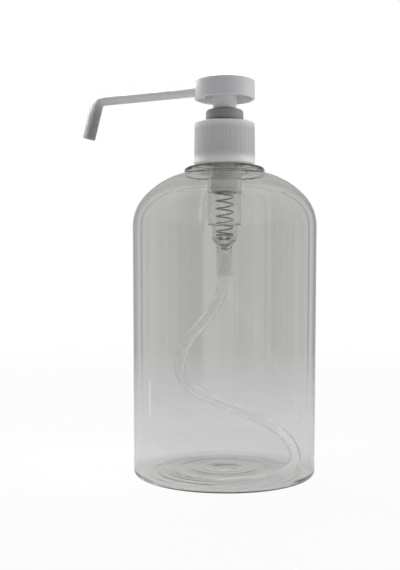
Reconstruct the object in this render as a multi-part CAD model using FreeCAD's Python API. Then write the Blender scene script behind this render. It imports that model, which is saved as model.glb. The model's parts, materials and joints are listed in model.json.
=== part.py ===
"""Soap pump dispenser: a round clear bottle with a screw-on lotion pump and a long spout.

Millimetres, +Z up. The origin is the centre of the ring that the bottle stands on, and the spout
points along -X. Every height follows from the bottle's body up to the neck, and from the neck's
lip up to the push head and down to the dip tube's socket.
"""
import FreeCAD, Part
import math
import os

Vector = FreeCAD.Vector
ORIGIN = Vector(0, 0, 0)
UP = Vector(0, 0, 1)
PAST = 1.0  # how far a cutting shape runs past a face

# Bottle body
BODY_DIAMETER = 93.5
BODY_WALL = 0.9
STRAIGHT_HEIGHT = 127.5  # where the straight side ends and the shoulder starts
HEEL_RADIUS = 2.8
STANDING_RING_WIDTH = 3.0
BASE_THICKNESS = 1.3
PUSH_UP = 2.4  # rise of the base's underside at its centre
DOME_RADIUS_SHARE = 0.6  # the dome's arc passes this share of the ring's radius...
DOME_RISE_SHARE = 0.75  # ...at this share of the rise
GATE_RING_RADIUS = 5.0
GATE_RING_RISE = 0.5
SHOULDER_LOWER_RADIUS = 22.0
SHOULDER_LOWER_SWEEP = math.radians(42)
SHOULDER_UPPER_RADIUS = 40.0

# Ledge and neck finish
LEDGE_RADIUS = 20.4
LEDGE_ROUNDING = 2.0
LEDGE_HEIGHT = 3.0
NECK_ROOT_RADIUS = 12.5
NECK_WALL = 1.7
NECK_HEIGHT = 18.1
THREAD_LEAD = 4.233
THREAD_DEPTH = 1.2
THREAD_TURNS = 1.5
THREAD_FOOT = 2.2
THREAD_CREST = 1.1
THREAD_BELOW_LIP = 3.0
THREAD_SUNK = 0.2  # how far a ridge is rooted in its wall

# Screw cap
CAP_CLEARANCE = 0.25  # between thread crest and cap wall
CAP_WALL = 1.55
CAP_TAPER = 0.25
CAP_TOP = 1.6
CAP_ABOVE_LEDGE = 1.0
CAP_BAND_HEIGHT = 3.9
CAP_EDGE_ROUNDING = 1.2
CAP_TOP_ROUNDING = 0.45
CAP_PLAY = 0.1
CAP_HOLE_PLAY = 0.15
BAND_CHAMFER = 0.3
RIB_COUNT = 72
RIB_DEPTH = 0.3
RIB_SUNK = 0.05  # how far the ribs stay below the band's face
RIB_CORNERS = (0.0, 0.45, 0.6, 0.85)  # crest from and to, groove from and to, as shares of a step
CAP_THREAD_DEPTH = 1.05
CAP_THREAD_FOOT = 1.5
CAP_THREAD_CREST = 0.8
CAP_THREAD_TURNS = 1.25

# Gasket and pump cylinder
GASKET_THICKNESS = 1.2
FLANGE_THICKNESS = 1.2
FLANGE_OVERHANG = 0.3  # past the neck's outside
GASKET_INSET = 0.1
GASKET_PLAY = 0.2
BORE_RADIUS = 7.4
CYLINDER_WALL = 1.2
UPPER_WALL = 1.4
EXTENSION_WALL = 0.8
EXTENSION_HEIGHT = 6.5
UPPER_DEPTH = 32.7  # from the flange's top down to the end of the thicker upper part
BARREL_DEPTH = 49.7  # to the step below the barrel
CHAMBER_RADIUS = 5.15
CHAMBER_DEPTH = 56.7
CHAMBER_TAPER = 3.0
VALVE_ROOM_RADIUS = 3.3
SOCKET_RADIUS = 4.1
SOCKET_FLARE = 0.3
SOCKET_FLARE_LENGTH = 2.5
CYLINDER_CHAMFER = 0.4
SOCKET_DEPTH = 75.4
VENT_RADIUS = 0.7
VENT_DEPTH = 23.5

# Locking collar and wiper
COLLAR_WALL = 1.45
COLLAR_DRAFT = 0.2
COLLAR_TOP = 1.6
COLLAR_ROUNDING = 1.4
STEM_CLEARANCE = 0.05
WIPER_HEIGHT = 1.9
WIPER_LIP = 0.45
WIPER_ROOF = 0.8
WIPER_RIM = 0.5

# Valve balls
INLET_BALL_RADIUS = 2.5
INLET_THROAT_RADIUS = 1.7
OUTLET_BALL_RADIUS = 2.2
OUTLET_THROAT_RADIUS = 1.5
BALL_LIFT = 1.5
BALL_CLEARANCE = 0.02
STOP_CLEARANCE = 0.1
THROAT_LENGTH = 1.6
VALVE_ROOM_LENGTH = 3.75
CAGE_HEIGHT = 1.05
CAGE_RIB_REACH = 1.5
CAGE_WALL = 1.0
CAGE_RIB_THICKNESS = 1.0

# Return spring
SPRING_RADIUS = 4.25
WIRE_RADIUS = 0.4
SPRING_COILS = 5.6

# Plunger
STROKE = 8.0
STEM_RADIUS = 5.9
STEM_BORE = 3.2
SPIGOT_RADIUS = 4.6
PISTON_TOP_DEPTH = 25.4  # from the flange's top to the stem's shoulder
PISTON_SLEEVE = 3.8
PISTON_SKIRT = 7.3
PISTON_WAIST = 0.5
PISTON_EDGE = 0.6  # width of the slopes beside each lip
PISTON_LIP = 1.6
PISTON_CUP_RADIUS = 6.2
PISTON_CLEARANCE = 0.03
PISTON_END_PLAY = 0.1
SEAT_FLANGE_RADIUS = 5.7
SEAT_FLANGE_THICKNESS = 1.2
SEAT_PLUG_HEIGHT = 3.2
SEAT_RIM = 0.5
STOP_BAR_WIDTH = 0.9
STOP_BAR_HEIGHT = 1.5
STOP_BAR_SUNK = 0.3

# Push head
HEAD_RADIUS = 15.2
HEAD_HEIGHT = 9.2
HEAD_WALL = 1.5
HEAD_ABOVE_COLLAR = 5.3
HEAD_TOP = 1.6
HEAD_ROUNDING = 0.7
HEAD_CHAMFER = 0.3
CORE_RADIUS = 9.4
CORE_CLEARANCE = 0.6  # between core and collar at the end of the stroke
SOCKET_CEILING = 2.2
HEAD_RIBS = 6
HEAD_RIB_THICKNESS = 1.0
HEAD_RIB_HEIGHT = 2.2
HEAD_RIB_SUNK = 0.5

# Spout
SPOUT_RADIUS = 3.15
SPOUT_BORE = 1.9
SPOUT_DROOP = math.radians(5.4)
SPOUT_TIP_ANGLE = math.radians(76)
SPOUT_REACH = 64.0  # from the stem's axis to the corner where the two runs would meet
SPOUT_BEND_RADIUS = 3.7
SPOUT_TIP_LENGTH = 20.0
SPOUT_ROOT_ABOVE_RIM = 4.5
SPOUT_INNER_END = 10.4
SPOUT_BOSS_WALL = 1.0
SPOUT_CHANNEL_RADIUS = 1.3
SPOUT_CHANNEL_OVERLAP = 0.5

# Dip tube
DIP_RADIUS = 2.85
DIP_WALL = 0.75
DIP_SOCKET_LENGTH = 11.3
DIP_BEND_SHARE = 0.45  # of the shorter run beside a bend
ROUTE = [
    (0, 0, 113.5),
    (0, 0, 97),
    (-7, 0, 82.5),
    (-19, 3.5, 69.5),
    (-24.5, 14, 56),
    (-21, 26, 43.5),
    (-9, 35.5, 34.5),
    (7.5, 38, 28),
    (23.5, 30.5, 22.5),
    (33.5, 17, 17),
    (36.5, -0.5, 13),
    (35.5, -18, 9),
    (26, -32.5, 5.5),
    (10, -41, 4.6),
    (-6, -42, 4.4),
]


def turned(*points):
    """A solid of revolution about Z. A point is (r, z), or (middle, end) for an arc."""
    edges = []
    at = points[0]
    for step in points[1:] + (points[0],):
        if isinstance(step[0], tuple):
            middle, end = step
            edges.append(Part.Arc(flat(at), flat(middle), flat(end)).toShape())
        else:
            end = step
            edges.append(Part.makeLine(flat(at), flat(end)))
        at = end
    return Part.Face(Part.Wire(edges)).revolve(ORIGIN, UP, 360)


def flat(point):
    return Vector(point[0], 0, point[1])


def on_circle(centre, radius, angle):
    return (centre[0] + radius * math.cos(angle), centre[1] + radius * math.sin(angle))


def corner(centre, radius, start, end):
    """The arc step about a centre from one angle to another, in degrees."""
    middle = math.radians((start + end) / 2)
    return (on_circle(centre, radius, middle), on_circle(centre, radius, math.radians(end)))


def tube(outer, inner, low, high):
    return turned((inner, low), (outer, low), (outer, high), (inner, high))


def rod(radius, low, high):
    return Part.makeCylinder(radius, high - low, Vector(0, 0, low))


def ridge(wall, crest, foot, top, low, turns):
    """A thread ridge from the wall's radius to the crest's, wound round Z from z = low."""
    side = math.copysign(THREAD_SUNK, crest - wall)
    corners = [(wall - side, -foot / 2), (crest, -top / 2), (crest, top / 2), (wall - side, foot / 2)]
    points = [Vector(r, 0, low + z) for r, z in corners]
    section = Part.makePolygon(points + points[:1])
    helix = Part.makeHelix(THREAD_LEAD, THREAD_LEAD * turns, wall)
    helix.translate(Vector(0, 0, low))
    return Part.Wire(helix.Edges).makePipeShell([section], True, True)


def rounded_path(points, radius_of):
    """Straight runs through the points, joined by tangent arcs. Returns the wire and the radii."""
    points = [Vector(*p) for p in points]
    edges = []
    radii = []
    at = points[0]
    for before, here, after in zip(points, points[1:], points[2:]):
        back = before - here
        ahead = after - here
        half_turn = (math.pi - back.getAngle(ahead)) / 2
        radius = radius_of(min(back.Length, ahead.Length), half_turn)
        cut = radius * math.tan(half_turn)
        back.normalize()
        ahead.normalize()
        start = here + back * cut
        end = here + ahead * cut
        towards = (back + ahead).normalize()
        middle = here + towards * (radius / math.cos(half_turn) - radius)
        edges.append(Part.LineSegment(at, start).toShape())
        edges.append(Part.Arc(start, middle, end).toShape())
        radii.append(radius)
        at = end
    edges.append(Part.LineSegment(at, points[-1]).toShape())
    return Part.Wire(edges), radii


def pipe(wire, start, direction, radius):
    section = Part.Wire(Part.makeCircle(radius, start, direction))
    return wire.makePipeShell([section], True, False)


def hose(wire, points, outer, inner):
    start = Vector(*points[0])
    direction = Vector(*points[1]) - start
    return pipe(wire, start, direction, outer).cut(pipe(wire, start, direction, inner))


# Bottle heights and radii
BODY_RADIUS = BODY_DIAMETER / 2
RING_OUTER = BODY_RADIUS - HEEL_RADIUS
RING_INNER = RING_OUTER - STANDING_RING_WIDTH
LOWER_CENTRE = (BODY_RADIUS - SHOULDER_LOWER_RADIUS, STRAIGHT_HEIGHT)
ARC_STEP = SHOULDER_LOWER_RADIUS - SHOULDER_UPPER_RADIUS
UPPER_CENTRE = on_circle(LOWER_CENTRE, ARC_STEP, SHOULDER_LOWER_SWEEP)
NECK_BORE = NECK_ROOT_RADIUS - NECK_WALL
THREAD_RADIUS = NECK_ROOT_RADIUS + THREAD_DEPTH
FLANGE_RADIUS = NECK_ROOT_RADIUS + FLANGE_OVERHANG
EXTENSION_RADIUS = BORE_RADIUS + EXTENSION_WALL
DOME_RADIUS = DOME_RADIUS_SHARE * RING_INNER
DOME_RISE = DOME_RISE_SHARE * PUSH_UP


def upper_angle(radius, offset):
    """Where the shoulder's upper arc, moved inwards by offset, reaches a radius."""
    return math.acos((radius - UPPER_CENTRE[0]) / (SHOULDER_UPPER_RADIUS - offset))


LEDGE_FOOT = on_circle(UPPER_CENTRE, SHOULDER_UPPER_RADIUS, upper_angle(LEDGE_RADIUS, 0))[1]
LEDGE_TOP = LEDGE_FOOT + LEDGE_HEIGHT
LIP = LEDGE_TOP + NECK_HEIGHT

# Closure and pump heights
CAP_BOTTOM = LEDGE_TOP + CAP_ABOVE_LEDGE
FLANGE_BOTTOM = LIP + GASKET_THICKNESS
FLANGE_TOP = FLANGE_BOTTOM + FLANGE_THICKNESS
CAP_CEILING = FLANGE_TOP + CAP_PLAY
CAP_TOP_FACE = CAP_CEILING + CAP_TOP
CAP_BORE = THREAD_RADIUS + CAP_CLEARANCE
CAP_RADIUS = CAP_BORE + CAP_WALL
COLLAR_BOTTOM = CAP_TOP_FACE + CAP_PLAY
EXTENSION_TOP = FLANGE_TOP + EXTENSION_HEIGHT
COLLAR_TOP_FACE = EXTENSION_TOP + COLLAR_TOP
UPPER_END = FLANGE_TOP - UPPER_DEPTH
BARREL_END = FLANGE_TOP - BARREL_DEPTH
CHAMBER_END = FLANGE_TOP - CHAMBER_DEPTH
SOCKET_END = FLANGE_TOP - SOCKET_DEPTH
THROAT_START = SOCKET_END + DIP_SOCKET_LENGTH
INLET_CONE = THROAT_START + THROAT_LENGTH
INLET_BALL_Z = INLET_CONE - INLET_THROAT_RADIUS + INLET_BALL_RADIUS * math.sqrt(2) + BALL_CLEARANCE
CAGE_RIB_Z = INLET_BALL_Z + INLET_BALL_RADIUS + BALL_LIFT + STOP_CLEARANCE
CAGE_TOP = CAGE_RIB_Z + CAGE_HEIGHT
VALVE_ROOM_TOP = INLET_CONE + VALVE_ROOM_RADIUS - INLET_THROAT_RADIUS + VALVE_ROOM_LENGTH

# Plunger heights
STEM_SHOULDER = FLANGE_TOP - PISTON_TOP_DEPTH
SPIGOT_END = STEM_SHOULDER - PISTON_SLEEVE - 2 * PISTON_END_PLAY
PISTON_TOP = STEM_SHOULDER - PISTON_END_PLAY
PISTON_BOTTOM = PISTON_TOP - PISTON_SKIRT
SPRING_TOP = SPIGOT_END - SEAT_FLANGE_THICKNESS
OUTLET_CONE = SPIGOT_END + SEAT_PLUG_HEIGHT - (STEM_BORE - SEAT_RIM - OUTLET_THROAT_RADIUS)
OUTLET_BALL_Z = OUTLET_CONE - OUTLET_THROAT_RADIUS + OUTLET_BALL_RADIUS * math.sqrt(2) + BALL_CLEARANCE
STOP_Z = OUTLET_BALL_Z + OUTLET_BALL_RADIUS + BALL_LIFT + STOP_CLEARANCE
HEAD_BOTTOM = COLLAR_TOP_FACE + HEAD_ABOVE_COLLAR
HEAD_TOP_FACE = HEAD_BOTTOM + HEAD_HEIGHT
CORE_BOTTOM = COLLAR_TOP_FACE + STROKE + CORE_CLEARANCE
STEM_TOP = HEAD_TOP_FACE - SOCKET_CEILING
SPOUT_ROOT_Z = HEAD_BOTTOM + SPOUT_ROOT_ABOVE_RIM


def shoulder(offset, ledge_radius):
    """The two shoulder arcs, from the straight side up to the ledge."""
    lower = SHOULDER_LOWER_RADIUS - offset
    upper = SHOULDER_UPPER_RADIUS - offset
    end = upper_angle(ledge_radius, offset)
    middle = (SHOULDER_LOWER_SWEEP + end) / 2
    return [
        (
            on_circle(LOWER_CENTRE, lower, SHOULDER_LOWER_SWEEP / 2),
            on_circle(LOWER_CENTRE, lower, SHOULDER_LOWER_SWEEP),
        ),
        (on_circle(UPPER_CENTRE, upper, middle), on_circle(UPPER_CENTRE, upper, end)),
    ]


def bottle_outside():
    heel = (RING_OUTER, HEEL_RADIUS)
    crest = (LEDGE_RADIUS - LEDGE_ROUNDING, LEDGE_TOP - LEDGE_ROUNDING)
    return turned(
        (0, PUSH_UP + GATE_RING_RISE),
        (GATE_RING_RADIUS, PUSH_UP + GATE_RING_RISE),
        (GATE_RING_RADIUS, PUSH_UP),
        ((DOME_RADIUS, DOME_RISE), (RING_INNER, 0)),
        (RING_OUTER, 0),
        corner(heel, HEEL_RADIUS, -90, 0),
        (BODY_RADIUS, STRAIGHT_HEIGHT),
        *shoulder(0, LEDGE_RADIUS),
        (LEDGE_RADIUS, LEDGE_TOP - LEDGE_ROUNDING),
        corner(crest, LEDGE_ROUNDING, 0, 90),
        (NECK_ROOT_RADIUS, LEDGE_TOP),
        (NECK_ROOT_RADIUS, LIP),
        (0, LIP),
    )


def bottle_inside():
    wall = BODY_RADIUS - BODY_WALL
    heel_radius = HEEL_RADIUS - BODY_WALL
    heel = (wall - heel_radius, BASE_THICKNESS + heel_radius)
    ledge_wall = LEDGE_RADIUS - NECK_WALL
    ledge_round = LEDGE_ROUNDING - BODY_WALL
    crest = (ledge_wall - ledge_round, LEDGE_TOP - NECK_WALL - ledge_round)
    arcs = shoulder(BODY_WALL, ledge_wall)
    arcs_end = arcs[1][1]
    return turned(
        (0, PUSH_UP + BASE_THICKNESS),
        (GATE_RING_RADIUS, PUSH_UP + BASE_THICKNESS),
        ((DOME_RADIUS, DOME_RISE + BASE_THICKNESS), (RING_INNER, BASE_THICKNESS)),
        (heel[0], BASE_THICKNESS),
        corner(heel, heel_radius, -90, 0),
        (wall, STRAIGHT_HEIGHT),
        *arcs,
        (arcs_end[0], crest[1]),
        corner(crest, ledge_round, 0, 90),
        (NECK_BORE, LEDGE_TOP - NECK_WALL),
        (NECK_BORE, LIP + PAST),
        (0, LIP + PAST),
    )


def bottle():
    turns_rise = THREAD_LEAD * THREAD_TURNS
    low = LIP - THREAD_BELOW_LIP - turns_rise
    thread = ridge(NECK_ROOT_RADIUS, THREAD_RADIUS, THREAD_FOOT, THREAD_CREST, low, THREAD_TURNS)
    return bottle_outside().fuse(thread).cut(bottle_inside())


def ribbed_outline(radius, z):
    """A closed outline with one raised rib and one groove per step round the cap."""
    groove = radius - RIB_DEPTH
    profile = list(zip(RIB_CORNERS, (radius, radius, groove, groove)))
    points = []
    for i in range(RIB_COUNT):
        for share, r in profile:
            angle = 2 * math.pi * (i + share) / RIB_COUNT
            points.append(Vector(r * math.cos(angle), r * math.sin(angle), z))
    return Part.makePolygon(points + points[:1])


def screw_cap():
    band_top = CAP_BOTTOM + CAP_BAND_HEIGHT
    rib_top = CAP_TOP_FACE - CAP_TOP_ROUNDING
    low = (CAP_RADIUS - CAP_EDGE_ROUNDING, CAP_BOTTOM + CAP_EDGE_ROUNDING)
    high = (CAP_RADIUS - CAP_TAPER - 2 * CAP_TOP_ROUNDING, rib_top)
    smooth = turned(
        (0, CAP_BOTTOM),
        (low[0], CAP_BOTTOM),
        corner(low, CAP_EDGE_ROUNDING, -90, 0),
        (CAP_RADIUS, band_top - BAND_CHAMFER),
        (CAP_RADIUS - RIB_DEPTH, band_top),
        (CAP_RADIUS - RIB_DEPTH - CAP_TAPER, rib_top),
        (high[0] + CAP_TOP_ROUNDING, rib_top),
        corner(high, CAP_TOP_ROUNDING, 0, 90),
        (0, CAP_TOP_FACE),
    )
    outlines = [
        ribbed_outline(CAP_RADIUS - RIB_SUNK, band_top - BAND_CHAMFER),
        ribbed_outline(CAP_RADIUS - RIB_SUNK - CAP_TAPER, rib_top),
    ]
    ribbed = Part.makeLoft(outlines, True, True)
    inside = rod(CAP_BORE, CAP_BOTTOM - PAST, CAP_CEILING)
    hole = rod(EXTENSION_RADIUS + CAP_HOLE_PLAY, CAP_CEILING - PAST, CAP_TOP_FACE + PAST)
    low_z = LIP - THREAD_BELOW_LIP - THREAD_LEAD * (THREAD_TURNS + 0.5)
    thread = ridge(
        CAP_BORE, CAP_BORE - CAP_THREAD_DEPTH, CAP_THREAD_FOOT, CAP_THREAD_CREST, low_z, CAP_THREAD_TURNS
    )
    return smooth.fuse(ribbed).cut(inside).cut(hole).fuse(thread)


def neck_gasket():
    return tube(FLANGE_RADIUS - GASKET_INSET, BORE_RADIUS + UPPER_WALL + GASKET_PLAY, LIP, FLANGE_BOTTOM)


def pump_cylinder():
    upper = BORE_RADIUS + UPPER_WALL
    barrel = BORE_RADIUS + CYLINDER_WALL
    chamber = CHAMBER_RADIUS + CYLINDER_WALL
    body = turned(
        (DIP_RADIUS, SOCKET_END),
        (SOCKET_RADIUS + SOCKET_FLARE, SOCKET_END),
        (SOCKET_RADIUS, SOCKET_END + SOCKET_FLARE_LENGTH),
        (SOCKET_RADIUS, CHAMBER_END - CHAMBER_TAPER),
        (chamber, CHAMBER_END),
        (chamber, BARREL_END),
        (barrel - CYLINDER_CHAMFER, BARREL_END),
        (barrel, BARREL_END + CYLINDER_CHAMFER),
        (barrel, UPPER_END - CYLINDER_CHAMFER),
        (upper, UPPER_END),
        (upper, FLANGE_BOTTOM),
        (FLANGE_RADIUS, FLANGE_BOTTOM),
        (FLANGE_RADIUS, FLANGE_TOP),
        (EXTENSION_RADIUS, FLANGE_TOP),
        (EXTENSION_RADIUS, EXTENSION_TOP),
        (BORE_RADIUS, EXTENSION_TOP),
        (BORE_RADIUS, BARREL_END + CYLINDER_WALL),
        (CHAMBER_RADIUS, BARREL_END + CYLINDER_WALL),
        (CHAMBER_RADIUS, VALVE_ROOM_TOP),
        (VALVE_ROOM_RADIUS, VALVE_ROOM_TOP),
        (VALVE_ROOM_RADIUS, INLET_CONE + VALVE_ROOM_RADIUS - INLET_THROAT_RADIUS),
        (INLET_THROAT_RADIUS, INLET_CONE),
        (INLET_THROAT_RADIUS, THROAT_START),
        (DIP_RADIUS, THROAT_START),
    )
    vent_start = Vector(0, 0, FLANGE_TOP - VENT_DEPTH)
    vent = Part.makeCylinder(VENT_RADIUS, upper + PAST, vent_start, Vector(0, -1, 0))
    return body.cut(vent)


def locking_collar():
    outer = EXTENSION_RADIUS + COLLAR_WALL
    rounding = (outer - COLLAR_DRAFT - COLLAR_ROUNDING, COLLAR_TOP_FACE - COLLAR_ROUNDING)
    hole = STEM_RADIUS + STEM_CLEARANCE
    return turned(
        (EXTENSION_RADIUS, COLLAR_BOTTOM),
        (outer, COLLAR_BOTTOM),
        (outer - COLLAR_DRAFT, rounding[1]),
        corner(rounding, COLLAR_ROUNDING, 0, 90),
        (hole, COLLAR_TOP_FACE),
        (hole, EXTENSION_TOP),
        (EXTENSION_RADIUS, EXTENSION_TOP),
    )


def stem_wiper():
    """A cup seal in the cylinder's mouth whose thin lower lip wipes the stem."""
    inner = STEM_RADIUS + STEM_CLEARANCE
    low = EXTENSION_TOP - WIPER_HEIGHT
    return turned(
        (inner, low),
        (inner + WIPER_LIP, low),
        (inner + WIPER_LIP, EXTENSION_TOP - WIPER_ROOF),
        (BORE_RADIUS - WIPER_RIM, EXTENSION_TOP - WIPER_ROOF),
        (BORE_RADIUS - WIPER_RIM, low),
        (BORE_RADIUS, low),
        (BORE_RADIUS, EXTENSION_TOP),
        (inner, EXTENSION_TOP),
    )


def ball(radius, z):
    return Part.makeSphere(radius, Vector(0, 0, z))


def ball_cage():
    """A ring pressed into the lower chamber, with three ribs that stop the inlet ball."""
    ring = tube(CHAMBER_RADIUS, CHAMBER_RADIUS - CAGE_WALL, VALVE_ROOM_TOP, CAGE_TOP)
    length = CHAMBER_RADIUS - CAGE_WALL / 2 - CAGE_RIB_REACH
    for i in range(3):
        start = Vector(CAGE_RIB_REACH, -CAGE_RIB_THICKNESS / 2, CAGE_RIB_Z)
        rib = Part.makeBox(length, CAGE_RIB_THICKNESS, CAGE_HEIGHT, start)
        rib.rotate(ORIGIN, UP, 120 * i + 30)
        ring = ring.fuse(rib)
    return ring


def return_spring():
    """A left-hand coil with a closed ring at each end."""
    low = CAGE_TOP + WIRE_RADIUS
    height = SPRING_TOP - WIRE_RADIUS - low
    helix = Part.makeHelix(height / SPRING_COILS, height, SPRING_RADIUS, 0, True)
    helix.translate(Vector(0, 0, low))
    section = Part.Wire(Part.makeCircle(WIRE_RADIUS, Vector(SPRING_RADIUS, 0, low), Vector(0, 1, 0)))
    coil = Part.Wire(helix.Edges).makePipeShell([section], True, True)
    for z in (low, low + height):
        coil = coil.fuse(Part.makeTorus(SPRING_RADIUS, WIRE_RADIUS, Vector(0, 0, z), UP))
    return coil


def piston():
    outer = BORE_RADIUS - PISTON_CLEARANCE
    waist = outer - PISTON_WAIST
    web = PISTON_TOP - PISTON_SLEEVE
    bore = SPIGOT_RADIUS + PISTON_CLEARANCE
    return turned(
        (bore, web),
        (PISTON_CUP_RADIUS, web),
        (outer - PISTON_EDGE, PISTON_BOTTOM),
        (outer, PISTON_BOTTOM),
        (outer, PISTON_BOTTOM + PISTON_LIP),
        (waist, PISTON_BOTTOM + PISTON_LIP + PISTON_EDGE),
        (waist, PISTON_TOP - PISTON_LIP - PISTON_EDGE),
        (outer, PISTON_TOP - PISTON_LIP),
        (outer, PISTON_TOP),
        (bore, PISTON_TOP),
    )


def outlet_seat():
    """A plug pressed into the stem's lower end: it keeps the piston on and seats the outlet ball."""
    top = SPIGOT_END + SEAT_PLUG_HEIGHT
    return turned(
        (OUTLET_THROAT_RADIUS, SPRING_TOP),
        (SEAT_FLANGE_RADIUS, SPRING_TOP),
        (SEAT_FLANGE_RADIUS, SPIGOT_END),
        (STEM_BORE, SPIGOT_END),
        (STEM_BORE, top),
        (OUTLET_THROAT_RADIUS + top - OUTLET_CONE, top),
        (OUTLET_THROAT_RADIUS, OUTLET_CONE),
    )


def stem():
    body = turned(
        (STEM_BORE, SPIGOT_END),
        (SPIGOT_RADIUS, SPIGOT_END),
        (SPIGOT_RADIUS, STEM_SHOULDER),
        (STEM_RADIUS, STEM_SHOULDER),
        (STEM_RADIUS, STEM_TOP),
        (STEM_BORE, STEM_TOP),
    )
    reach = STEM_BORE + STOP_BAR_SUNK
    corner_point = Vector(-reach, -STOP_BAR_WIDTH / 2, STOP_Z)
    bar = Part.makeBox(2 * reach, STOP_BAR_WIDTH, STOP_BAR_HEIGHT, corner_point)
    return body.fuse(bar).cut(spout_channel())


def spout_point(x):
    """A point on the spout's straight run at a distance x from the stem's axis."""
    rise = (HEAD_RADIUS - x) * math.tan(SPOUT_DROOP)
    return Vector(-x, 0, SPOUT_ROOT_Z + rise)


def spout_corner_points():
    corner_point = spout_point(SPOUT_REACH)
    tip = Vector(-math.cos(SPOUT_TIP_ANGLE), 0, -math.sin(SPOUT_TIP_ANGLE))
    return [spout_point(SPOUT_INNER_END), corner_point, corner_point + tip * SPOUT_TIP_LENGTH]


def along_spout(x_from, x_to, radius):
    start = spout_point(x_from)
    run = spout_point(x_to) - start
    return Part.makeCylinder(radius, run.Length, start, run)


def spout_channel():
    """The passage from the stem's bore to the spout's inner end."""
    return along_spout(STEM_BORE / 2, SPOUT_INNER_END + SPOUT_CHANNEL_OVERLAP, SPOUT_CHANNEL_RADIUS)


def nozzle_tube():
    points = spout_corner_points()
    wire, _ = rounded_path(points, lambda run, half_turn: SPOUT_BEND_RADIUS)
    return hose(wire, points, SPOUT_RADIUS, SPOUT_BORE)


def push_head():
    edge = (HEAD_RADIUS - HEAD_ROUNDING, HEAD_TOP_FACE - HEAD_ROUNDING)
    outside = turned(
        (0, HEAD_BOTTOM),
        (HEAD_RADIUS - HEAD_CHAMFER, HEAD_BOTTOM),
        (HEAD_RADIUS, HEAD_BOTTOM + HEAD_CHAMFER),
        (HEAD_RADIUS, edge[1]),
        corner(edge, HEAD_ROUNDING, 0, 90),
        (0, HEAD_TOP_FACE),
    )
    ceiling = HEAD_TOP_FACE - HEAD_TOP
    rim = HEAD_RADIUS - HEAD_WALL
    hollow = tube(rim, CORE_RADIUS, HEAD_BOTTOM - PAST, ceiling)
    under_core = rod(rim - HEAD_WALL, HEAD_BOTTOM - PAST, CORE_BOTTOM)
    socket = rod(STEM_RADIUS, CORE_BOTTOM - PAST, STEM_TOP)
    head = outside.cut(hollow).cut(under_core)
    rib_length = rim - CORE_RADIUS + 2 * HEAD_RIB_SUNK
    rib_low = ceiling - HEAD_RIB_HEIGHT + HEAD_RIB_SUNK
    rib_start = Vector(CORE_RADIUS - HEAD_RIB_SUNK, -HEAD_RIB_THICKNESS / 2, rib_low)
    for i in range(HEAD_RIBS):
        rib = Part.makeBox(rib_length, HEAD_RIB_THICKNESS, HEAD_RIB_HEIGHT, rib_start)
        rib.rotate(ORIGIN, UP, 360 * (i + 0.5) / HEAD_RIBS)
        head = head.fuse(rib)
    boss = along_spout(SPOUT_INNER_END, HEAD_RADIUS - HEAD_WALL / 2, SPOUT_RADIUS + SPOUT_BOSS_WALL)
    seat = along_spout(SPOUT_INNER_END, HEAD_RADIUS + PAST, SPOUT_RADIUS)
    head = head.fuse(boss.common(outside)).cut(socket)
    return head.cut(seat).cut(spout_channel())


def dip_tube():
    wire, radii = rounded_path(ROUTE, lambda run, half_turn: DIP_BEND_SHARE * run / math.tan(half_turn))
    shape = hose(wire, ROUTE, DIP_RADIUS, DIP_RADIUS - DIP_WALL)
    section = math.pi * (DIP_RADIUS**2 - (DIP_RADIUS - DIP_WALL) ** 2)
    print("dip tube radii", [round(r, 1) for r in radii])
    print("dip tube length %.1f, volume over section %.1f" % (wire.Length, shape.Volume / section))
    return shape


PARTS = {
    "bottle": bottle,
    "screw_cap": screw_cap,
    "neck_gasket": neck_gasket,
    "pump_cylinder": pump_cylinder,
    "locking_collar": locking_collar,
    "stem_wiper": stem_wiper,
    "dip_tube": dip_tube,
    "inlet_ball": lambda: ball(INLET_BALL_RADIUS, INLET_BALL_Z),
    "ball_cage": ball_cage,
    "return_spring": return_spring,
    "piston": piston,
    "outlet_seat": outlet_seat,
    "outlet_ball": lambda: ball(OUTLET_BALL_RADIUS, OUTLET_BALL_Z),
    "stem": stem,
    "push_head": push_head,
    "nozzle_tube": nozzle_tube,
}

os.makedirs("parts", exist_ok=True)
for name, make in PARTS.items():
    shape = make()
    shape.exportStep("parts/" + name + ".step")
    print(name, len(shape.Solids), shape.isValid(), round(shape.Volume, 1), shape.BoundBox)
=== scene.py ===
"""Studio scene of the soap pump dispenser: finishes, the dip tube, the spring, light and camera."""
import json
import math

import bpy
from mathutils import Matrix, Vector


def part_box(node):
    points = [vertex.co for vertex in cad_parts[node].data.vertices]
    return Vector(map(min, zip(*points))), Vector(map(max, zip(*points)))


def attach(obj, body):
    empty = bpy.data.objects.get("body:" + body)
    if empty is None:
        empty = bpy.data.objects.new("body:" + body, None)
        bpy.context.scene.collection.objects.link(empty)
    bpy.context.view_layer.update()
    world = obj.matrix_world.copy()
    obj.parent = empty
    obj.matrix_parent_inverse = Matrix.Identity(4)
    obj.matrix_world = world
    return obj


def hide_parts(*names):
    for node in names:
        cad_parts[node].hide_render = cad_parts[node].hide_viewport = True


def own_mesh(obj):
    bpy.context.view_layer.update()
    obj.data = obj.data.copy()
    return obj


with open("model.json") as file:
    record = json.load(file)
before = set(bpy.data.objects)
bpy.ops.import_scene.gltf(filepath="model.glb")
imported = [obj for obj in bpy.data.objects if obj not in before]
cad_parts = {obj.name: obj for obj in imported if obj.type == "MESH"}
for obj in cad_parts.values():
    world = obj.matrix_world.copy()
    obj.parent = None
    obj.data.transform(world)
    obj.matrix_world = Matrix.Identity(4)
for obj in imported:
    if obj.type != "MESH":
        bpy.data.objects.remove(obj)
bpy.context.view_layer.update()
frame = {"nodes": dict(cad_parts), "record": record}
MM = 0.001

# Camera: eye level 104 mm above the base, a little to the spout's side of the bottle's axis
CAMERA_DISTANCE = 0.455
CAMERA_HEIGHT = 0.1036
CAMERA_SIDE = -0.0125
CAMERA_PITCH = math.radians(4.2)
CAMERA_LENS = 55.83
CAMERA_SHIFT = 0.0938

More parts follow.
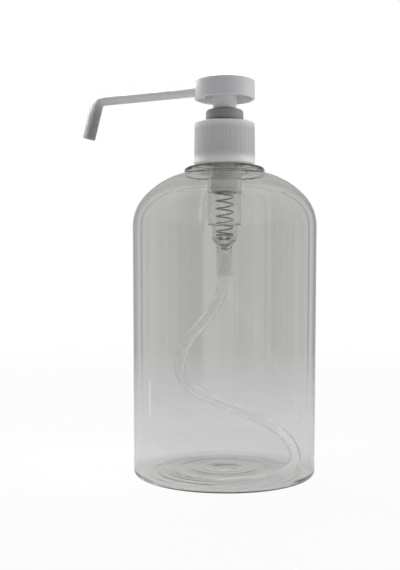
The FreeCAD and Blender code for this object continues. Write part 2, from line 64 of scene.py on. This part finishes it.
# Light level round the tent, from straight behind the object (0) to the camera's side (1)
TENT_LEVELS = [
    (0.0, 0.58),
    (0.1, 0.53),
    (0.15, 0.38),
    (0.2, 0.4),
    (0.24, 0.62),
    (0.277, 0.66),
    (0.282, 0.1),
    (0.306, 0.1),
    (0.312, 0.6),
    (0.45, 0.52),
    (0.55, 0.36),
    (0.7, 0.12),
    (1.0, 0.08),
]

# Least level of the tent where it is seen through a clear piece
THROUGH_LEVEL = 0.3

# Distances from the bottle over which the floor fades to nothing
FLOOR_FADE = (0.15, 0.8)

# The floor's glow to rays other than camera rays, by distance from the centre of the base: painted shade
# under the base, a painted light ring near 41 mm and painted shade again near 46 mm
PAINTED_SHADING_UNDER_BASE = [
    (0.0, (0.57, 0.57, 0.555)),
    (0.03, (0.52, 0.52, 0.505)),
    (0.041, (0.64, 0.64, 0.63)),
    (0.046, (0.56, 0.56, 0.55)),
    (0.06, (0.67, 0.67, 0.68)),
]

# Radii between which the rough marks round the moulding gate in the base end
GATE_FADE = (0.005, 0.0065)

# Dip tube, the same route as in CAD
TUBE_RADIUS = 2.85 * MM
TUBE_WALL = 0.75 * MM
TUBE_ROUTE_MM = [
    (0, 0, 113.5),
    (0, 0, 97),
    (-7, 0, 82.5),
    (-19, 3.5, 69.5),
    (-24.5, 14, 56),
    (-21, 26, 43.5),
    (-9, 35.5, 34.5),
    (7.5, 38, 28),
    (23.5, 30.5, 22.5),
    (33.5, 17, 17),
    (36.5, -0.5, 13),
    (35.5, -18, 9),
    (26, -32.5, 5.5),
    (10, -41, 4.6),
    (-6, -42, 4.4),
]

# Return spring
COIL_RADIUS = 4.25 * MM
WIRE_RADIUS = 0.4 * MM
OPEN_COILS = 5.6
CLOSED_COILS = 1.2


class Nodes:
    """A node tree, with one short call per kind of node."""

    def __init__(self, tree, coordinates="Object"):
        self.tree = tree
        self.tree.nodes.clear()
        self.place = self.add("ShaderNodeTexCoord").outputs[coordinates]

    @classmethod
    def of_material(cls, name):
        material = bpy.data.materials.new(name)
        material.use_nodes = True
        nodes = cls(material.node_tree)
        nodes.material = material
        return nodes

    def add(self, kind, **settings):
        node = self.tree.nodes.new(kind)
        for key, value in settings.items():
            setattr(node, key, value)
        return node

    def link(self, source, target):
        self.tree.links.new(source, target)

    def stretched(self, scale):
        """Object coordinates multiplied along each axis."""
        mapping = self.add("ShaderNodeMapping")
        mapping.inputs["Scale"].default_value = scale
        self.link(self.place, mapping.inputs["Vector"])
        return mapping.outputs["Vector"]

    def noise(self, scale, detail=3.0, roughness=0.55, vector=None):
        node = self.add("ShaderNodeTexNoise")
        node.inputs["Scale"].default_value = scale
        node.inputs["Detail"].default_value = detail
        node.inputs["Roughness"].default_value = roughness
        self.link(vector or self.place, node.inputs["Vector"])
        return node.outputs["Fac"]

    def spread(self, value, low, high, start=0.3, end=0.7):
        """A value from start to end mapped onto low to high."""
        node = self.add("ShaderNodeMapRange")
        for socket, number in zip(("From Min", "From Max", "To Min", "To Max"), (start, end, low, high)):
            node.inputs[socket].default_value = number
        self.link(value, node.inputs["Value"])
        return node.outputs["Result"]

    def ramp(self, value, *stops):
        node = self.add("ShaderNodeValToRGB")
        elements = node.color_ramp.elements
        while len(elements) < len(stops):
            elements.new(0.5)
        for element, (position, colour) in zip(elements, stops):
            element.position = position
            element.color = (*colour, 1.0)
        self.link(value, node.inputs["Fac"])
        return node.outputs["Color"]

    def bump(self, height, strength, distance, before=None):
        node = self.add("ShaderNodeBump")
        node.inputs["Strength"].default_value = strength
        node.inputs["Distance"].default_value = distance
        self.link(height, node.inputs["Height"])
        if before:
            self.link(before, node.inputs["Normal"])
        return node.outputs["Normal"]

    def product(self, first, second):
        node = self.add("ShaderNodeMath", operation="MULTIPLY")
        self.link(first, node.inputs[0])
        self.link(second, node.inputs[1])
        return node.outputs["Value"]

    def height(self):
        """The height above the base, in metres."""
        node = self.add("ShaderNodeSeparateXYZ")
        self.link(self.place, node.inputs["Vector"])
        return node.outputs["Z"]

    def principled(self, colour, roughness, normal=None, **plain):
        """A Principled shader. colour and roughness are sockets, and plain holds fixed numbers."""
        node = self.add("ShaderNodeBsdfPrincipled")
        self.link(colour, node.inputs["Base Color"])
        self.link(roughness, node.inputs["Roughness"])
        if normal:
            self.link(normal, node.inputs["Normal"])
        for key, value in plain.items():
            node.inputs[key.replace("_", " ")].default_value = value
        return node.outputs["BSDF"]

    def finish(self, shader):
        self.link(shader, self.add("ShaderNodeOutputMaterial").inputs["Surface"])
        return self.material

    def let_lamps_through(self, shader, tint):
        """Shadow rays pass the surface with a tint, as light passes thin clear plastic."""
        path = self.add("ShaderNodeLightPath")
        clear = self.add("ShaderNodeBsdfTransparent")
        clear.inputs["Color"].default_value = (*tint, 1.0)
        mix = self.add("ShaderNodeMixShader")
        self.link(path.outputs["Is Shadow Ray"], mix.inputs["Fac"])
        self.link(shader, mix.inputs[1])
        self.link(clear.outputs["BSDF"], mix.inputs[2])
        return mix.outputs["Shader"]


def clear_pet():
    """Blow-moulded polyester: glossy, faintly grey, with slow waves in its wall. Its tint by height carries
    painted light and shade.
    """
    n = Nodes.of_material("clear_pet")
    clear = (0.90, 0.905, 0.885)
    ledge_painted_shade = (0.80, 0.795, 0.745)
    base = (0.94, 0.94, 0.935)
    # The tint by height is painted light and shade: lighter towards the base, and darker in a band at the
    # shoulder ledge.
    stops = ((0.0, base), (0.149, clear), (0.153, ledge_painted_shade), (0.1575, ledge_painted_shade), (0.159, clear))
    colour = n.ramp(n.height(), *stops)
    rough = n.spread(n.noise(60), 0.01, 0.03)
    waves = n.noise(30, 1.0, 0.5, n.stretched((1.0, 1.0, 0.12)))
    normal = base_marks(n, n.bump(waves, 0.2, 0.0005))
    shader = n.principled(colour, rough, normal, Transmission_Weight=1.0, IOR=1.57)
    return n.finish(n.let_lamps_through(shader, (0.92, 0.92, 0.91)))


def base_marks(n, wall):
    """Uneven rings in the bottle's base and rough marks round its gate, added to the wall's waves."""
    from_axis = n.add("ShaderNodeVectorMath", operation="LENGTH")
    n.link(n.stretched((1.0, 1.0, 0.0)), from_axis.inputs[0])
    distance = from_axis.outputs["Value"]
    in_base = n.spread(n.height(), 1.0, 0.0, 0.008, 0.012)
    steps = n.add("ShaderNodeTexNoise", noise_dimensions="1D")
    steps.inputs["Scale"].default_value = 220
    n.link(distance, steps.inputs["W"])
    rings = n.bump(n.product(steps.outputs["Fac"], in_base), 0.22, 0.001, wall)
    near_gate = n.product(n.spread(distance, 1.0, 0.0, *GATE_FADE), in_base)
    rough_marks = n.noise(420, 2.0, 0.5, n.stretched((1.0, 0.35, 1.0)))
    return n.bump(n.product(rough_marks, near_gate), 0.25, 0.0008, rings)


def moulded(name, light, dark, low, high, grain=1.0, painted_shade_by_height=None, **plain):
    """Injection-moulded plastic: fine satin texture, faint flow marks and slight handling wear."""
    n = Nodes.of_material(name)
    colour = n.ramp(n.noise(45, 4.0), (0.3, dark), (0.7, light))
    # A ramp over height, when given, multiplies the colour: painted light and shade by height.
    if painted_shade_by_height:
        shade = n.add("ShaderNodeMixRGB", blend_type="MULTIPLY")
        shade.inputs["Fac"].default_value = 1.0
        n.link(colour, shade.inputs["Color1"])
        n.link(n.ramp(n.height(), *painted_shade_by_height), shade.inputs["Color2"])
        colour = shade.outputs["Color"]
    rough = n.spread(n.noise(120, 5.0), low, high)
    fine = n.bump(n.noise(4200, 2.0), 0.08 * grain, 0.0001)
    slow = n.bump(n.noise(90, 2.0), 0.06 * grain, 0.0005, fine)
    return n.finish(n.principled(colour, rough, slow, **plain))


def milky(name, light, dark, tint, transmission, rough, ior):
    """Uncoloured polypropylene or polyethylene: part clear, part milky."""
    n = Nodes.of_material(name)
    colour = n.ramp(n.noise(160, 3.0), (0.3, dark), (0.7, light))
    roughness = n.spread(n.noise(260, 4.0), *rough)
    normal = n.bump(n.noise(90, 1.0), 0.02, 0.0003)
    shader = n.principled(colour, roughness, normal, Transmission_Weight=transmission, IOR=ior)
    return n.finish(n.let_lamps_through(shader, tint))


def bare_steel(name, light, dark):
    n = Nodes.of_material(name)
    colour = n.ramp(n.noise(900, 4.0), (0.3, dark), (0.7, light))
    rough = n.spread(n.noise(1500, 4.0, vector=n.stretched((1.0, 1.0, 6.0))), 0.22, 0.42)
    normal = n.bump(n.noise(2600, 3.0), 0.15, 0.00005)
    return n.finish(n.principled(colour, rough, normal, Metallic=1.0))


def polished_glass():
    n = Nodes.of_material("glass_ball")
    colour = n.ramp(n.noise(300), (0.3, (0.80, 0.86, 0.85)), (0.7, (0.92, 0.95, 0.94)))
    rough = n.spread(n.noise(500), 0.01, 0.05)
    shader = n.principled(colour, rough, None, Transmission_Weight=1.0, IOR=1.35)
    return n.finish(n.let_lamps_through(shader, (0.8, 0.82, 0.82)))


MATERIALS = {
    "clear_pet": clear_pet(),
    "white_plastic": moulded("white_plastic", (0.70, 0.70, 0.715), (0.66, 0.66, 0.68), 0.32, 0.44),
    "grey_plastic": moulded("grey_plastic", (0.33, 0.33, 0.33), (0.29, 0.29, 0.29), 0.34, 0.5),
    "natural_plastic": milky(
        "natural_plastic", (0.985, 0.985, 0.97), (0.94, 0.94, 0.925), (0.94, 0.94, 0.93),
        transmission=0.97, rough=(0.03, 0.07), ior=1.32,
    ),
    "tube_plastic": milky(
        "tube_plastic", (0.96, 0.965, 0.965), (0.91, 0.915, 0.915), (0.9, 0.9, 0.9),
        transmission=0.87, rough=(0.12, 0.16), ior=1.22,
    ),
    "piston_plastic": moulded("piston_plastic", (0.72, 0.72, 0.70), (0.66, 0.66, 0.64), 0.35, 0.5),
    "soft_white": moulded("soft_white", (0.74, 0.74, 0.73), (0.68, 0.68, 0.67), 0.6, 0.8, 2.0),
    "steel": bare_steel("steel", (0.52, 0.52, 0.53), (0.30, 0.30, 0.31)),
    "glass_ball": polished_glass(),
}


def dress_cad_nodes():
    """Each CAD node takes the material of its record slot. The ball has its own steel finish. The cap has
    painted light on its band and top rim and painted shade on its ribs, and the spout has painted shade on
    its tip.
    """
    for part in frame["record"]["subparts"]:
        dress(part["node"], MATERIALS[part["material_slot"]])
    white = (1.0, 1.0, 1.0)
    # Painted light on the cap's smooth band and top rim, and painted shade on its ribbed zone.
    ribs_painted_shade = (0.70, 0.70, 0.70)
    cap_painted_shading = ((0.162, white), (0.1626, ribs_painted_shade), (0.179, ribs_painted_shade), (0.1793, white))
    cap = moulded("cap_white_painted_shade", (0.96, 0.96, 0.975), (0.92, 0.92, 0.94), 0.3, 0.42, painted_shade_by_height=cap_painted_shading)
    dress("screw_cap", cap)
    # Painted shade on the spout's downturned tip, below 185 mm.
    tip_painted_shade = ((0.185, (0.46, 0.46, 0.45)), (0.191, white))
    spout = moulded("spout_white_painted_shade", (0.72, 0.72, 0.73), (0.69, 0.69, 0.70), 0.22, 0.32, painted_shade_by_height=tip_painted_shade)
    dress("nozzle_tube", spout)
    dress("inlet_ball", bare_steel("ball_steel", (0.92, 0.92, 0.92), (0.84, 0.84, 0.84)))


def dress(node, material):
    mesh = frame["nodes"][node].data
    mesh.materials.clear()
    mesh.materials.append(material)


def new_object(name, mesh, material, smooth=True):
    piece = bpy.data.objects.new(name, mesh)
    bpy.context.scene.collection.objects.link(piece)
    mesh.materials.append(material)
    for face in mesh.polygons:
        face.use_smooth = smooth
    return piece


def mesh_of(name, points, faces):
    mesh = bpy.data.meshes.new(name)
    mesh.from_pydata(points, [], faces)
    mesh.validate()
    return mesh


def directions_along(points):
    """For each point, two unit vectors across the line, turned as little as possible from one to the next."""
    ahead = [(b - a).normalized() for a, b in zip(points, points[1:])]
    ahead.append(ahead[-1])
    side = ahead[0].orthogonal().normalized()
    frames = []
    for tangent in ahead:
        side = (side - tangent * side.dot(tangent)).normalized()
        frames.append((side, tangent.cross(side)))
    return frames


def rings_along(points, radius, around):
    """Rings of points about a line."""
    rings = []
    for point, (side, up) in zip(points, directions_along(points)):
        angles = [2 * math.pi * k / around for k in range(around)]
        rings.append([point + side * (radius * math.cos(a)) + up * (radius * math.sin(a)) for a in angles])
    return rings


def skin(rings, closed, flip=False):
    """Faces between neighbouring rings; closed joins the last ring to the first."""
    count = len(rings[0])
    faces = []
    for i in range(len(rings) if closed else len(rings) - 1):
        j = (i + 1) % len(rings)
        for k in range(count):
            m = (k + 1) % count
            face = (i * count + k, i * count + m, j * count + m, j * count + k)
            faces.append(face[::-1] if flip else face)
    return faces


def dip_tube():
    """The curling tube, with its real bore, along the smooth line of the CAD route."""
    curve = bpy.data.curves.new("dip_route", "CURVE")
    curve.dimensions = "3D"
    spline = curve.splines.new("NURBS")
    spline.points.add(len(TUBE_ROUTE_MM) - 1)
    for control, place in zip(spline.points, TUBE_ROUTE_MM):
        control.co = (*(value * MM for value in place), 1.0)
    spline.order_u = 3
    spline.use_endpoint_u = True
    spline.resolution_u = 24
    guide = bpy.data.objects.new("dip_route", curve)
    line_mesh = bpy.data.meshes.new_from_object(guide)
    line = [v.co.copy() for v in line_mesh.vertices]
    bpy.data.objects.remove(guide)
    around = 64
    outer = rings_along(line, TUBE_RADIUS, around)
    inner = rings_along(line, TUBE_RADIUS - TUBE_WALL, around)
    rings = outer + inner[::-1]
    points = [p for ring in rings for p in ring]
    piece = new_object("dip_hose", mesh_of("dip_hose", points, skin(rings, True)), MATERIALS["tube_plastic"])
    piece.data.set_sharp_from_angle(angle=math.radians(40))
    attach(piece, "pump")
    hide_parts("dip_tube")


def return_spring():
    """A left-hand wire coil with closed ends."""
    low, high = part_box("return_spring")
    bottom = low[2] + WIRE_RADIUS
    top = high[2] - WIRE_RADIUS
    turns = OPEN_COILS + 2 * CLOSED_COILS
    closed_rise = 2.1 * WIRE_RADIUS * CLOSED_COILS
    steps = int(turns * 40)
    line = []
    for i in range(steps + 1):
        turn = turns * i / steps
        if turn < CLOSED_COILS:
            z = bottom + closed_rise * turn / CLOSED_COILS
        elif turn > turns - CLOSED_COILS:
            z = top - closed_rise * (turns - turn) / CLOSED_COILS
        else:
            share = (turn - CLOSED_COILS) / OPEN_COILS
            z = bottom + closed_rise + share * (top - bottom - 2 * closed_rise)
        angle = -2 * math.pi * turn
        line.append(Vector((COIL_RADIUS * math.cos(angle), COIL_RADIUS * math.sin(angle), z)))
    rings = rings_along(line, WIRE_RADIUS, 14)
    points = [p for ring in rings for p in ring]
    faces = skin(rings, False)
    faces.append(tuple(reversed(range(14))))
    faces.append(tuple(range(len(points) - 14, len(points))))
    piece = new_object("coil", mesh_of("coil", points, faces), MATERIALS["steel"])
    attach(piece, "pump")
    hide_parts("return_spring")
    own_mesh(piece)


def area_light(name, place, target, size, power, size_y=None):
    lamp = bpy.data.lights.new(name, "AREA")
    lamp.energy = power
    lamp.shape = "RECTANGLE"
    lamp.size = size
    lamp.size_y = size_y or size
    holder = bpy.data.objects.new(name, lamp)
    holder.location = place
    holder.rotation_euler = (Vector(target) - Vector(place)).to_track_quat("-Z", "Y").to_euler()
    bpy.context.scene.collection.objects.link(holder)
    return holder


def world_light():
    """White to the camera. As light it is a grey tent, brighter behind the object at both sides."""
    world = bpy.data.worlds.new("studio")
    bpy.context.scene.world = world
    world.use_nodes = True
    n = Nodes(world.node_tree, "Generated")
    across = n.add("ShaderNodeSeparateXYZ")
    n.link(n.place, across.inputs["Vector"])
    turn = n.add("ShaderNodeMath", operation="ARCTAN2")
    n.link(across.outputs["X"], turn.inputs[0])
    n.link(across.outputs["Y"], turn.inputs[1])
    folds = n.add("ShaderNodeTexNoise", noise_dimensions="1D")
    folds.inputs["Scale"].default_value = 22
    folds.inputs["Detail"].default_value = 5
    folds.inputs["Roughness"].default_value = 0.72
    n.link(turn.outputs["Value"], folds.inputs["W"])
    away = n.add("ShaderNodeMath", operation="ABSOLUTE")
    n.link(turn.outputs["Value"], away.inputs[0])
    share = n.spread(away.outputs["Value"], 0.0, 1.0, 0.0, math.pi)
    stops = [(at, (level, level, level)) for at, level in TENT_LEVELS]
    level = n.product(n.ramp(share, *stops), n.spread(folds.outputs["Fac"], 0.84, 1.18))
    path = n.add("ShaderNodeLightPath")
    through = n.add("ShaderNodeMath", operation="MAXIMUM")
    n.link(level, through.inputs[0])
    n.link(n.spread(path.outputs["Is Transmission Ray"], 0.0, THROUGH_LEVEL, 0.0, 1.0), through.inputs[1])
    shade = n.add("ShaderNodeBackground")
    n.link(through.outputs["Value"], shade.inputs["Color"])
    white = n.add("ShaderNodeBackground")
    mix = n.add("ShaderNodeMixShader")
    n.link(path.outputs["Is Camera Ray"], mix.inputs["Fac"])
    n.link(shade.outputs["Background"], mix.inputs[1])
    n.link(white.outputs["Background"], mix.inputs[2])
    white.inputs["Color"].default_value = (1, 1, 1, 1)
    n.link(mix.outputs["Shader"], n.add("ShaderNodeOutputWorld").inputs["Surface"])


def floor():
    """A white floor that shows the object's soft shadow to the camera, and ends in nothing some way out. To
    other rays it mostly glows, with painted shade and a painted light ring under the base.
    """
    mesh = mesh_of("floor", [(-1, -1, 0), (1, -1, 0), (1, 1, 0), (-1, 1, 0)], [(0, 1, 2, 3)])
    n = Nodes.of_material("floor")
    colour = n.ramp(n.noise(6, 2.0), (0.3, (0.58, 0.58, 0.58)), (0.7, (0.61, 0.61, 0.61)))
    lit = n.add("ShaderNodeBsdfDiffuse")
    n.link(colour, lit.inputs["Color"])
    glow = n.add("ShaderNodeEmission")
    reach = n.add("ShaderNodeVectorMath", operation="LENGTH")
    n.link(n.place, reach.inputs[0])
    path = n.add("ShaderNodeLightPath")
    mix = n.add("ShaderNodeMixShader")
    seen = path.outputs["Is Camera Ray"]
    n.link(n.spread(seen, 0.82, 0.93, 0.0, 1.0), mix.inputs["Fac"])
    # Painted shade and a painted light ring under the base, seen by rays other than camera rays.
    painted_shading_under_base = n.ramp(reach.outputs["Value"], *PAINTED_SHADING_UNDER_BASE)
    level = n.add("ShaderNodeMixRGB")
    n.link(seen, level.inputs["Fac"])
    n.link(painted_shading_under_base, level.inputs["Color1"])
    level.inputs["Color2"].default_value = (1, 1, 1, 1)
    n.link(level.outputs["Color"], glow.inputs["Color"])
    n.link(lit.outputs["BSDF"], mix.inputs[1])
    n.link(glow.outputs["Emission"], mix.inputs[2])
    edge = n.spread(reach.outputs["Value"], 0.0, 1.0, *FLOOR_FADE)
    fade = n.add("ShaderNodeMixShader")
    n.link(edge, fade.inputs["Fac"])
    n.link(mix.outputs["Shader"], fade.inputs[1])
    n.link(n.add("ShaderNodeBsdfTransparent").outputs["BSDF"], fade.inputs[2])
    piece = new_object("floor", mesh, n.finish(fade.outputs["Shader"]), False)


def lights():
    """Soft boxes beside and above the object. They light it but aren't mirrored in the bottle."""
    middle = (0, 0, 0.12)
    boxes = [
        area_light("top", (-0.035, 0.07, 0.33), (-0.035, 0, 0.19), 0.2, 0.75, 0.1),
        area_light("left", (-0.55, 0.32, 0.3), middle, 0.3, 1.6, 0.6),
        area_light("right", (0.6, 0.04, 0.3), middle, 0.3, 1.85, 0.6),
        area_light("low", (0.04, -0.5, 0.01), (0, 0, 0.19), 0.5, 0.93, 0.05),
    ]
    over_arm = area_light("over_arm", (-0.052, -0.003, 0.235), (-0.052, 0, 0.2), 0.07, 0.032, 0.006)
    over_arm.data.spread = math.radians(40)
    for box in boxes + [over_arm]:
        box.visible_glossy = False
        box.visible_transmission = False
    area_light("spark", (-0.02, 0.2, 0.5), (0, 0.02, 0.05), 0.06, 0.32, 0.025)
    window = area_light("window", (-0.22, 0.03, 0.016), (-0.04, 0, 0.03), 0.012, 0.0012, 0.026)
    window.visible_transmission = False


def camera():
    data = bpy.data.cameras.new("camera")
    data.lens = CAMERA_LENS
    data.sensor_width = 36
    data.shift_y = CAMERA_SHIFT
    data.clip_start = 0.01
    holder = bpy.data.objects.new("camera", data)
    holder.location = (CAMERA_SIDE, -CAMERA_DISTANCE, CAMERA_HEIGHT)
    holder.rotation_euler = (math.pi / 2 - CAMERA_PITCH, 0, 0)
    bpy.context.scene.collection.objects.link(holder)
    bpy.context.scene.camera = holder


dress_cad_nodes()
dip_tube()
return_spring()
floor()
world_light()
lights()
camera()
bpy.context.scene.view_settings.view_transform = "Standard"
